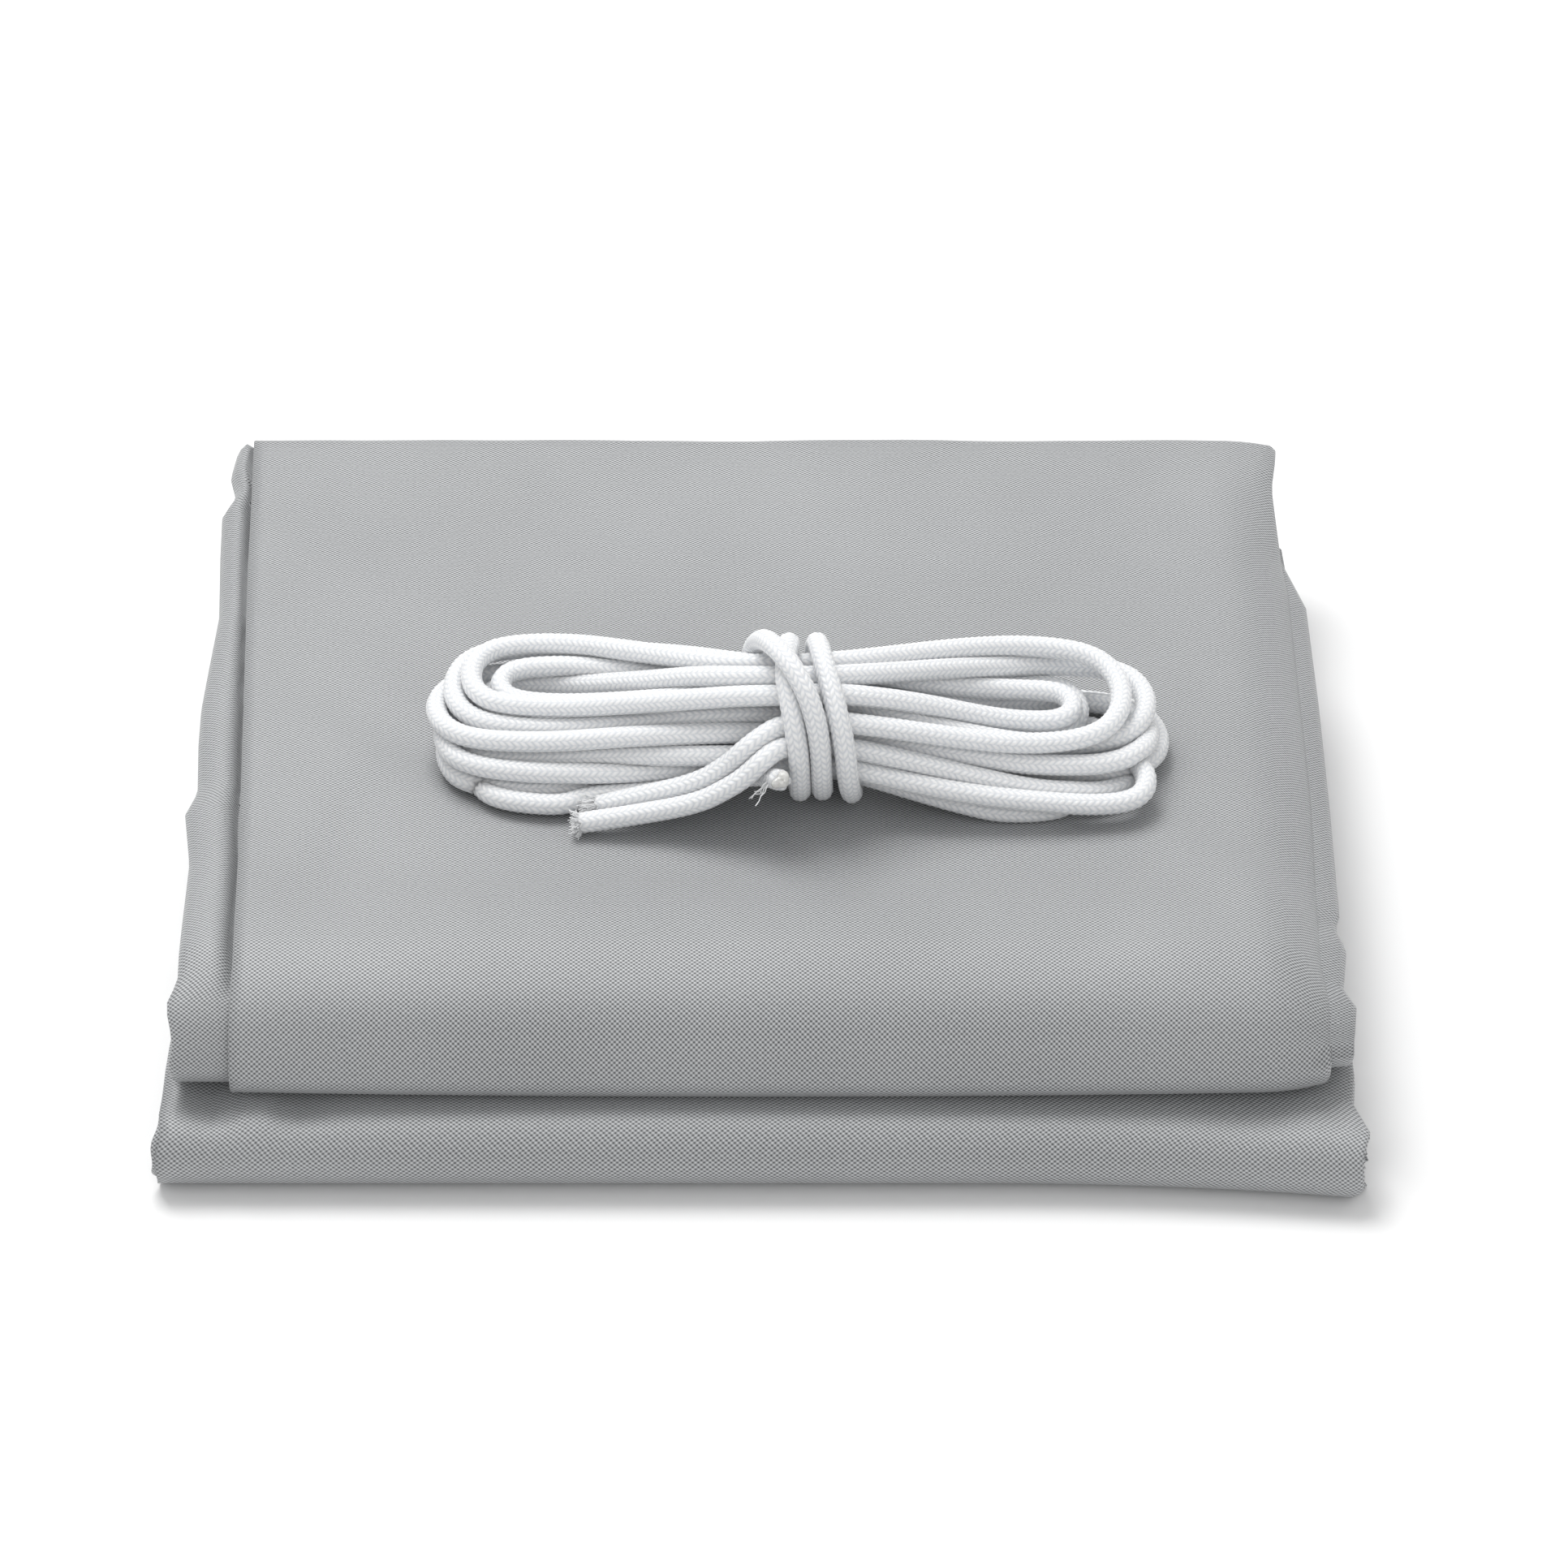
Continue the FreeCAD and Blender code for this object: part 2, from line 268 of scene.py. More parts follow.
# How the cords settle. In each round but the last few, a point is drawn back to its course and
# sinks. Then cords that touch are pushed apart and each cord gets its length back.
ROUNDS, QUIET_ROUNDS = 260, 20
SEARCH_EVERY = 8  # rounds between two searches for cords that are near one another
NEAR_MM = 2.0  # and how much further than touching that search looks
BESIDE = 4  # segments of one cord that are nearer than this along it may touch
DRAW_BACK, SINK_MM = 0.02, 0.03
PUSH_SHARE, LENGTH_SHARE = 0.7, 0.2  # how much of an overlap or a stretch is put right at once
PUSHES, LENGTHS = 2, 3  # how often, in one round
STIFF_SHARE = 0.3  # how strongly a cord evens out the way it is pushed aside
STIFF_REACH = (4, 2, 1)  # over this many points to each side


def settle(cords, fixed):
    """Lets wound cords push one another apart and sink, keeping their lengths.

    cords are lists of points in millimetres, fixed marks the points that stay where they are.
    """
    starts = np.cumsum([0] + [len(c) for c in cords])
    p = np.concatenate(cords)
    first = p.copy()
    count = len(p)
    owner = np.concatenate([np.full(len(c), i) for i, c in enumerate(cords)])
    free = np.where(np.concatenate(fixed), 0.0, 1.0)[:, None]
    seg = np.flatnonzero(owner[:-1] == owner[1:])
    reach = [
        (k, np.array([i for i in range(k, count - k) if owner[i - k] == owner[i + k]]))
        for k in STIFF_REACH
    ]
    rest = np.linalg.norm(p[seg + 1] - p[seg], axis=1)
    for turn in range(ROUNDS):
        if turn % SEARCH_EVERY == 0:
            middle = 0.5 * (p[seg] + p[seg + 1])
            half = 0.5 * rest
            gap = np.linalg.norm(middle[:, None] - middle[None], axis=2)
            i, j = np.where(np.triu(gap < CORD_MM + NEAR_MM + half[:, None] + half[None], 1))
            beside = (owner[seg[i]] == owner[seg[j]]) & (np.abs(seg[i] - seg[j]) < BESIDE)
            i, j = seg[i[~beside]], seg[j[~beside]]
        if turn <= ROUNDS - QUIET_ROUNDS:
            p += DRAW_BACK * (first - p) * free
            p[:, 2] -= SINK_MM * free[:, 0]
        for _ in range(PUSHES):
            s, t = nearest(p[i], p[i + 1], p[j], p[j + 1])
            apart = p[i] + s[:, None] * (p[i + 1] - p[i]) - p[j] - t[:, None] * (p[j + 1] - p[j])
            gap = np.linalg.norm(apart, axis=1)
            hit = gap < CORD_MM
            way = apart[hit] / np.maximum(gap[hit], 1e-6)[:, None]
            push = PUSH_SHARE * (CORD_MM - gap[hit])
            move, shares = np.zeros_like(p), np.zeros(count)
            a, b, s, t = i[hit], j[hit], s[hit], t[hit]
            for at, share, sign in ((a, 1 - s, 1), (a + 1, s, 1), (b, 1 - t, -1), (b + 1, t, -1)):
                np.add.at(move, at, (sign * share * push)[:, None] * way)
                np.add.at(shares, at, share)
            p += move / np.maximum(shares, 1.0)[:, None] * free
        for _ in range(LENGTHS):
            run = p[seg + 1] - p[seg]
            length = np.linalg.norm(run, axis=1)
            change = (LENGTH_SHARE * (length - rest) / length)[:, None] * run
            move = np.zeros_like(p)
            np.add.at(move, seg, change)
            np.add.at(move, seg + 1, -change)
            p += move * free
        for k, inner in reach:
            moved = p - first
            level = 0.5 * (moved[inner - k] + moved[inner + k])
            p[inner] += STIFF_SHARE * (level - moved[inner]) * free[inner]
        p[:, 2] = np.where(free[:, 0] > 0, np.maximum(p[:, 2], CORD_MM / 2), p[:, 2])
    return [p[a:b] for a, b in zip(starts, starts[1:])]


def wound_points():
    """The control points of both cords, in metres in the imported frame."""
    tails = [np.array(hank_mm(NEAR_TAIL)), np.array(hank_mm(FAR_TAIL))]
    bodies = [even(course_a(), NODE_STEP_MM), even(course_b(), NODE_STEP_MM)]
    cords = [np.concatenate(pair) for pair in zip(tails, bodies)]
    fixed = [np.arange(len(c)) < len(t) for c, t in zip(cords, tails)]
    return [c * MM + HANK_ORIGIN for c in settle(cords, fixed)]


def spline_line(name, points):
    """The smooth line of a NURBS spline whose control points are the points."""
    curve = bpy.data.curves.new(name, "CURVE")
    curve.dimensions = "3D"
    curve.resolution_u = 12
    spline = curve.splines.new("NURBS")
    spline.points.add(len(points) - 1)
    for point, co in zip(spline.points, points):
        point.co = (*co, 1.0)
    spline.order_u = 3
    spline.use_endpoint_u = True
    bare = bpy.data.objects.new(name, curve)
    mesh = bpy.data.meshes.new_from_object(bare)
    line = np.array([v.co for v in mesh.vertices], float)
    bpy.data.objects.remove(bare)
    bpy.data.curves.remove(curve)
    bpy.data.meshes.remove(mesh)
    return line


# ---------------------------------------------------------------- materials
MATH = "ShaderNodeMath"


def linear(code):
    """An sRGB hex colour as linear values with alpha."""
    parts = [int(code[i : i + 2], 16) / 255 for i in (1, 3, 5)]
    return [c / 12.92 if c <= 0.04045 else ((c + 0.055) / 1.055) ** 2.4 for c in parts] + [1.0]


def node(tree, kind, inputs=(), **settings):
    """Adds a node with its settings; inputs gives sockets a value, an output or a node."""
    made = tree.nodes.new(kind)
    for key, value in settings.items():
        setattr(made, key, value)
    for socket, value in dict(inputs).items():
        if isinstance(value, bpy.types.Node):
            value = value.outputs[0]
        if isinstance(value, bpy.types.NodeSocket):
            tree.links.new(value, made.inputs[socket])
        else:
            made.inputs[socket].default_value = value
    return made


def new_material(name):
    """A material with its nodes on, its tree and its shader."""
    made = bpy.data.materials.new(name)
    made.use_nodes = True
    return made, made.node_tree, made.node_tree.nodes["Principled BSDF"]


def woven_polyester():
    """Silver grey polyester oxford, plain weave, calendered: soft satin with light dots, painted in
    its base colour as highlight on the thread crests and shade between the threads.
    """
    made, tree, shader = new_material("woven_polyester_oxford")
    # Its threads lie about 0.5 mm apart. Each comes up at every second crossing, so the light
    # dots in one row are two threads apart: 1.1 mm across the cloth and 0.84 mm along it.
    thread = 0.55 * MM
    pick = 0.42 * MM
    uv = node(tree, "ShaderNodeUVMap", uv_map="UVMap")
    split = node(tree, "ShaderNodeSeparateXYZ", {0: uv})
    sway = node(tree, "ShaderNodeTexNoise", {"Vector": uv, "Scale": 90.0, "Detail": 2.0})
    drift = node(tree, MATH, {0: sway, 1: 1.2}, operation="MULTIPLY")
    across = node(
        tree, MATH, {0: split.outputs["X"], 1: math.pi / thread, 2: drift}, operation="MULTIPLY_ADD"
    )
    along = node(
        tree, MATH, {0: split.outputs["Y"], 1: math.pi / pick, 2: drift}, operation="MULTIPLY_ADD"
    )
    warp = node(tree, MATH, {0: across}, operation="SINE")
    weft = node(tree, MATH, {0: along}, operation="SINE")
    dots = node(tree, MATH, {0: warp, 1: weft}, operation="MULTIPLY")
    height = node(tree, MATH, {0: dots, 1: 0.5, 2: 0.5}, operation="MULTIPLY_ADD")
    fine = node(tree, "ShaderNodeTexNoise", {"Vector": uv, "Scale": 1400.0, "Detail": 3.0})
    slub = node(tree, "ShaderNodeTexNoise", {"Vector": uv, "Scale": 14.0, "Detail": 4.0})
    # Painted highlight and painted shade: the base colour is lighter on the thread crests and
    # darker between the threads; the two noises add real random tone.
    tone_and_painted_light = node(tree, MATH, {0: height, 1: 0.86, 2: -0.16}, operation="MULTIPLY_ADD")
    tone_and_painted_light = node(tree, MATH, {0: fine, 1: 0.26, 2: tone_and_painted_light}, operation="MULTIPLY_ADD")
    tone_and_painted_light = node(tree, MATH, {0: slub, 1: 0.14, 2: tone_and_painted_light}, operation="MULTIPLY_ADD", use_clamp=True)
    grey = node(
        tree, "ShaderNodeMix", {0: tone_and_painted_light, 6: linear("#252729"), 7: linear("#cfd1d3")},
        data_type="RGBA",
    )
    rough = node(tree, MATH, {0: height, 1: -0.18, 2: 0.60}, operation="MULTIPLY_ADD")
    bump = node(tree, "ShaderNodeBump", {"Height": height, "Strength": 0.6, "Distance": 0.12 * MM})
    tree.links.new(grey.outputs[2], shader.inputs["Base Color"])
    tree.links.new(rough.outputs[0], shader.inputs["Roughness"])
    tree.links.new(bump.outputs[0], shader.inputs["Normal"])
    shader.inputs["Sheen Weight"].default_value = 0.12
    shader.inputs["IOR"].default_value = 1.57
    return made


def braided_polyester():
    """Bleached polyester braid: bright crests of filament, with painted shade that makes the base
    colour greyer between the stitches.
    """
    made, tree, shader = new_material("braided_polyester_white")
    uv = node(tree, "ShaderNodeUVMap", uv_map="UVMap")
    split = node(tree, "ShaderNodeSeparateXYZ", {0: uv})
    # U counts the twelve columns of stitches, V the stitches along the cord.
    place = split.outputs["X"]
    column = node(tree, MATH, {0: place}, operation="FRACT")
    side = node(tree, MATH, {0: place, 1: 1.0}, operation="PINGPONG")
    half = node(tree, MATH, {0: place, 1: 0.5}, operation="MULTIPLY")
    pair = node(tree, MATH, {0: half}, operation="FLOOR")
    odd = node(tree, MATH, {0: pair, 1: 2.0}, operation="MODULO")
    stagger = node(tree, MATH, {0: odd, 1: 0.5, 2: split.outputs["Y"]}, operation="MULTIPLY_ADD")
    slanted = node(tree, MATH, {0: side, 1: -STITCH_SLANT, 2: stagger}, operation="MULTIPLY_ADD")
    phase = node(tree, MATH, {0: slanted}, operation="FRACT")
    half_turn = node(tree, MATH, {0: phase, 1: math.pi}, operation="MULTIPLY")
    hump = node(tree, MATH, {0: half_turn}, operation="SINE")
    across = node(tree, MATH, {0: column, 1: math.pi}, operation="MULTIPLY")
    crown = node(tree, MATH, {0: across}, operation="SINE")
    tall = node(tree, MATH, {0: hump, 1: 1.4}, operation="POWER")
    wide = node(tree, MATH, {0: crown, 1: 0.35}, operation="POWER")
    stitch = node(tree, MATH, {0: tall, 1: wide}, operation="MULTIPLY")
    # A stitch holds hundreds of filaments. They are drawn as nine, or they wouldn't show.
    turns_in = node(tree, MATH, {0: phase, 1: 9 * 2 * math.pi}, operation="MULTIPLY")
    strands = node(tree, MATH, {0: turns_in}, operation="SINE")
    height = node(
        tree, MATH, {0: strands, 1: 0.07, 2: stitch}, operation="MULTIPLY_ADD", use_clamp=True
    )
    # Painted shade: the base colour is greyer where the stitches and filament lines are low, in the
    # hollows between them.
    white = node(
        tree, "ShaderNodeMix", {0: height, 6: linear("#dcdfe3"), 7: linear("#ffffff")},
        data_type="RGBA",
    )
    rough = node(tree, MATH, {0: stitch, 1: -0.16, 2: 0.46}, operation="MULTIPLY_ADD")
    bump = node(tree, "ShaderNodeBump", {"Height": height, "Strength": 0.7, "Distance": 0.25 * MM})
    tree.links.new(white.outputs[2], shader.inputs["Base Color"])
    tree.links.new(rough.outputs[0], shader.inputs["Roughness"])
    tree.links.new(bump.outputs[0], shader.inputs["Normal"])
    shader.inputs["Subsurface Weight"].default_value = 0.8
    shader.inputs["Subsurface Scale"].default_value = 3.0 * MM
    shader.inputs["Subsurface Radius"].default_value = (1.0, 1.0, 1.0)
    shader.inputs["IOR"].default_value = 1.57
    return made


def loose_filaments():
    """Unbound polyester filaments at a cut end: brilliant white, silky."""
    made, tree, shader = new_material("polyester_filaments_white")
    place = node(tree, "ShaderNodeTexCoord")
    cloud = node(tree, "ShaderNodeTexNoise", {"Vector": place.outputs["Object"], "Scale": 1100.0})
    white = node(
        tree, "ShaderNodeMix", {0: cloud, 6: linear("#eef0f2"), 7: linear("#ffffff")},
        data_type="RGBA",
    )
    tree.links.new(white.outputs[2], shader.inputs["Base Color"])
    shader.inputs["Roughness"].default_value = 0.4
    shader.inputs["Subsurface Weight"].default_value = 0.5
    shader.inputs["Subsurface Scale"].default_value = 0.5 * MM
    shader.inputs["Subsurface Radius"].default_value = (1.0, 1.0, 1.0)
    return made


def melted_polyester():
    """A cord end sealed with a flame: glassy, milky and uneven."""
    made, tree, shader = new_material("heat_sealed_polyester")
    place = node(tree, "ShaderNodeTexCoord")
    cloud = node(
        tree, "ShaderNodeTexNoise",
        {"Vector": place.outputs["Object"], "Scale": 900.0, "Detail": 3.0},
    )
    milky = node(
        tree, "ShaderNodeMix", {0: cloud, 6: linear("#d2d2cf"), 7: linear("#fbfaf6")},
        data_type="RGBA",
    )
    bump = node(tree, "ShaderNodeBump", {"Height": cloud, "Strength": 0.8, "Distance": 0.5 * MM})
    tree.links.new(milky.outputs[2], shader.inputs["Base Color"])
    tree.links.new(bump.outputs[0], shader.inputs["Normal"])
    shader.inputs["Roughness"].default_value = 0.14
    shader.inputs["IOR"].default_value = 1.57
    shader.inputs["Subsurface Weight"].default_value = 0.3
    shader.inputs["Subsurface Scale"].default_value = 1.5 * MM
    shader.inputs["Subsurface Radius"].default_value = (1.0, 1.0, 1.0)
    shader.inputs["Transmission Weight"].default_value = 0.3
    return made


# ---------------------------------------------------------------- the braid
COLUMNS = 12  # columns of stitches round the cord
STITCH = 1.45 * MM
RINGS_PER_STITCH = 3
STITCH_SLANT = 0.7  # how far a stitch climbs across its column, in stitches
STITCH_DIP = 0.15 * MM  # between two stitches of a column
PAIR_DIP, COLUMN_DIP = 0.12 * MM, 0.05 * MM  # between pairs of columns, and inside a pair


def new_mesh(name, points, faces, uvs, material):
    """A smooth-shaded mesh object at the origin; uvs has one pair for each face corner."""
    mesh = bpy.data.meshes.new(name)
    mesh.from_pydata([tuple(p) for p in points], [], [tuple(f) for f in faces])
    layer = mesh.uv_layers.new(name="UVMap")
    layer.data.foreach_set("uv", np.array(uvs, np.float32).ravel())
    mesh.polygons.foreach_set("use_smooth", np.ones(len(mesh.polygons), bool))
    mesh.materials.append(material)
    piece = bpy.data.objects.new(name, mesh)
    bpy.context.collection.objects.link(piece)
    return piece


def frames(line):
    """Tangents and two cross directions that don't twist along a line."""
    tangents = np.gradient(line, axis=0)
    tangents /= np.linalg.norm(tangents, axis=1)[:, None]
    start = np.cross(tangents[0], (0.0, 0.0, 1.0))
    side = start / np.linalg.norm(start)
    sides = np.empty_like(line)
    for i, tangent in enumerate(tangents):
        side = side - tangent * side.dot(tangent)
        side /= np.linalg.norm(side)
        sides[i] = side
    return tangents, sides, np.cross(tangents, sides)


def braid(name, line, material):
    """A round braided cord along a line, with raised stitches in pairs that meet in Vs."""
    along = np.r_[0, np.cumsum(np.linalg.norm(np.diff(line, axis=0), axis=1))]
    gap = STITCH / RINGS_PER_STITCH
    rings = int(along[-1] / gap) + 1
    around = 2 * COLUMNS
    k = np.arange(around)
    # A ring's points climb to the middle of each pair of columns and fall to the next pair.
    climb = STITCH * STITCH_SLANT * np.abs((k / 2 + 1) % 2 - 1)
    pair = (k // 4) % 2
    tangents, sides, ups = frames(line)
    at = np.arange(rings)[:, None] * gap + climb[None] - 0.5 * STITCH * STITCH_SLANT
    at = np.clip(at, 0, along[-1])
    spine = np.stack([np.interp(at, along, line[:, c]) for c in range(3)], 2)
    side = np.stack([np.interp(at, along, sides[:, c]) for c in range(3)], 2)
    up = np.stack([np.interp(at, along, ups[:, c]) for c in range(3)], 2)
    ring = np.arange(rings)[:, None]
    phase = (ring / RINGS_PER_STITCH + 0.5 * pair[None]) % 1.0
    depth = STITCH_DIP * (np.cos(2 * math.pi * phase) * 0.5 + 0.5)
    seam = np.where(k % 4 == 0, PAIR_DIP, np.where(k % 2 == 0, COLUMN_DIP, 0.0))
    radius = CORD_MM * MM / 2 - depth - seam[None]
    angle = 2 * math.pi * k / around
    points = spine + radius[..., None] * (
        np.cos(angle)[None, :, None] * side + np.sin(angle)[None, :, None] * up
    )
    points = np.concatenate([points.reshape(-1, 3), line[:1], line[-1:]])
    i, j = np.meshgrid(np.arange(rings - 1), k, indexing="ij")
    i, j = i.ravel(), j.ravel()
    nxt = (j + 1) % around
    here, above = i * around, (i + 1) * around
    faces = np.stack([here + j, here + nxt, above + nxt, above + j], 1).tolist()
    u, v = j / 2, i / RINGS_PER_STITCH
    rise = climb / STITCH
    corners = []
    for du, dv in ((0, 0), (1, 0), (1, 1), (0, 1)):
        climbed = v + dv / RINGS_PER_STITCH + rise[(j + du) % around]
        corners.append(np.stack([u + du / 2, climbed], 1))
    uvs = np.stack(corners, 1).reshape(-1, 2).tolist()
    low, high = rings * around, rings * around + 1
    top = (rings - 1) * around
    for j in range(around):
        faces.append((low, (j + 1) % around, j))
        faces.append((high, top + j, top + (j + 1) % around))
        uvs += [(j / 2, 0.0)] * 6
    return new_mesh(name, points, faces, uvs, material)


cloth_finish = woven_polyester()
cord_finish = braided_polyester()
filament_finish = loose_filaments()
melted_finish = melted_polyester()

lines = [spline_line(name, p) for name, p in zip(("first_cord", "second_cord"), wound_points())]
first_cord = braid("first_cord", lines[0], cord_finish)
second_cord = braid("second_cord", lines[1], cord_finish)

# ---------------------------------------------------------------- the folded cover
# The cloth is one sheet. It is folded in four across its width, like a fan, then in half along
# its length, and that ribbon of eight layers is laid in four levels: the upper front fold
# joins levels one and two, the back fold levels two and three, the lower front fold three and
# four. A fold's own rows count as half a level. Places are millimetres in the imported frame.
SHEET_WIDTH, SHEET_LENGTH = 0.92, 1.84
CLOTH_MM = 0.32
LAYERS = 4  # across the width, for each half of the length
BOX_LOW, BOX_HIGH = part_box("cover")
FRONT_MM, BACK_MM = BOX_LOW[1] / MM, BOX_HIGH[1] / MM
TOP_MM = BOX_HIGH[2] / MM
MIDDLE_MM = 16.0  # where the upper stack lies on the lower one
GAP_MM = 0.2  # between the stacks, each side of that, and under the lowest layer
UPPER_CORE_MM, UPPER_CORE_BACK_MM = 24.1, 23.5  # what the upper stack's layers lie round
LOWER_CORE_MM, CORE_HALF_MM = 8.0, 0.3  # and the lower stack's, with half its thickness

# The folds: how far the back and lower ones begin from the box, and how far they reach out.
BACK_TURN_MM, BACK_REACH_MM = 8.2, 7.6
LOW_TURN_MM, LOW_REACH_MM = 8.1, 7.8
LEVEL_TWO_MM = -86.0  # level two's first row, behind the upper front fold
TOP_BACK_MM = 0.6  # level one's last row, from the box
FREE_END_MM = 1.0  # level four's last row, from the box
# The innermost layer: in the upper front fold from the box, and how far it goes back from
# there towards the fold's ends, and how round it is in the back and lower folds.
UPPER_NOSE_MM, NOSE_SWING_MM = 20.8, 12.0
BACK_NOSE_MM, LOW_NOSE_MM = 0.3, 0.4

# The upper front fold, from the top round to the underside: forward of and below its start.
UPPER_FOLD = [
    (0.0, 0.0), (3.4, 0.45), (6.6, 1.2), (9.7, 2.25), (12.6, 3.6), (15.3, 5.3), (17.7, 7.6),
    (19.9, 11.0), (22.2, 14.5), (22.6, 16.6), (22.3, 18.6), (21.2, 20.4), (19.2, 21.6),
    (16.0, 22.1), (12.0, 22.2),
]
UPPER_START_MM = (-76.5, 38.4)
UPPER_REACH_MM = max(ahead for ahead, below in UPPER_FOLD)

# The cloth's edges along each level, from its back to its front: y, x.
TOP_LEFT = [
    (110, -114.7), (60, -112.0), (0, -107.9), (-45, -104.9), (-80, -102.9), (-100, -103.1),
]
TOP_RIGHT = [
    (110, 115.2), (104, 114.6), (95, 113.2), (72, 113.8), (58, 114.5), (-18, 112.9),
    (-60, 110.9), (-76, 110.2), (-88, 111.2), (-100, 110.6),
]
NEXT_LEFT = [
    (110, -117.6), (100, -118.3), (92, -116.4), (85, -118.9), (70, -118.0), (45, -116.0),
    (10, -116.6), (-3, -116.0), (-20, -114.6), (-28, -116.4), (-45, -113.9), (-75, -113.0),
    (-84, -112.6), (-90, -114.6), (-96, -113.0), (-100, -114.2),
]
NEXT_RIGHT = [
    (110, 112.0), (80, 112.5), (70, 115.4), (57, 118.2), (20, 117.8), (-20, 116.8),
    (-55, 115.6), (-60, 114.2), (-66, 116.0), (-80, 114.2), (-86, 116.4), (-100, 115.2),
]
LOW_LEFT = [
    (110, -117.2), (60, -116.0), (0, -116.8), (-60, -115.6), (-96, -116.6), (-110, -117.4),
]
LOW_RIGHT = [
    (110, 117.0), (60, 117.8), (0, 117.2), (-60, 116.2), (-88, 116.4), (-97, 115.0),
    (-101.5, 118.4), (-104, 117.0), (-107, 115.8), (-110, 117.4),
]
# Soft bumps and hollows: height, place in x and y, length, depth, and turn in radians.
TOP_BUMPS = [
    (0.9, -82, 60, 26, 40, -0.3), (0.45, 40, 82, 60, 22), (-0.5, -10, -52, 60, 9),
    (0.5, -20, -66, 50, 10), (0.7, 80, -20, 9, 30, 0.6), (-0.7, 92, -34, 7, 26, 0.7),
    (-1.0, -66, -12, 34, 7, -0.75), (0.8, -48, 30, 30, 14, -0.6), (0.6, 100, -58, 6, 20, 0.8),
    (-0.5, 70, -74, 16, 6, 0.4), (0.5, -92, -40, 8, 34, -0.2), (-0.5, -80, -30, 8, 34, -0.25),
]
LOW_BUMPS = [
    (1.3, -99, -98, 4, 9, 0.3), (-1.6, -107, -97, 4.5, 9, 0.2), (-1.0, -90, -98, 6, 7),
    (0.7, -20, -100, 60, 8), (-0.6, 96, -98, 10, 8), (0.7, 108, -98, 5, 8),
]
BUMPY_FROM_MM = -80.0  # the lower stack's bumps begin here and have grown 6 mm further on
# How far the lower stack falls away towards its front fold, from where, and over how much.
LOW_DIP_MM, DIP_FROM_MM, DIP_RUN_MM = 1.3, -82.0, 17.0
# How far the upper front fold hangs down in its middle, out to where on each side, and the
# height where that begins, with what it takes to be whole.
SAG_MM, SAG_OUT_MM = 1.3, 108.0
SAG_BELOW_MM, SAG_RUN_MM = 34.0, 8.0
SWELL_ABOVE_MM = 30.0  # above this height that fold takes over the top's swell
ROLL_MM, GROOVE_MM = 1.6, 3.4  # beside the top layer's left edge
# At the right the upper stack's layers close up: from how far in, how much, and how much less
# low in its front fold. Towards the back that fades.
DROOP_MM, DROOP_SHARE, LOW_DROOP_SHARE = 13.0, 0.42, 0.12
LOW_DROOP_BELOW_MM = 26.0
FADE_FROM_MM, FADE_RUN_MM = 70.0, 30.0
# The lower stack's right front corner is drawn forwards: how far, from where, and over how much.
EAR_MM, EAR_FROM_MM, EAR_RUN_MM = 4.5, (45.0, -60.0), (73.0, 40.0)
BULGE_MM = 1.0  # how far the fan's folds at the sides stand out
# The crease at the top of the back: how far it stands out, and how much more where the two
# halves are this far apart.
CREASE_MM, CREASE_MORE_MM, CREASE_HIGH_MM = 0.5, 3.1, 13.5

# How close the mesh's rows and columns are: where the cloth shows, and where it hardly does.
ROW_MM, PLAIN_ROW_MM, HIDDEN_ROW_MM = 3.0, 9.0, 7.0
COLUMN_MM, PLAIN_COLUMN_MM = 3.3, 13.0
FOLD_ROWS = 8  # steps round the back fold and the crease
SIDE_STEPS = 6  # steps round a fold of the fan


def edge(table, y):
    """The x of an edge at a place along y."""
    rows = sorted(table)
    return float(np.interp(y, [r[0] for r in rows], [r[1] for r in rows]))


def ramp(value):
    """A value kept between nought and one."""
    return max(0.0, min(1.0, value))


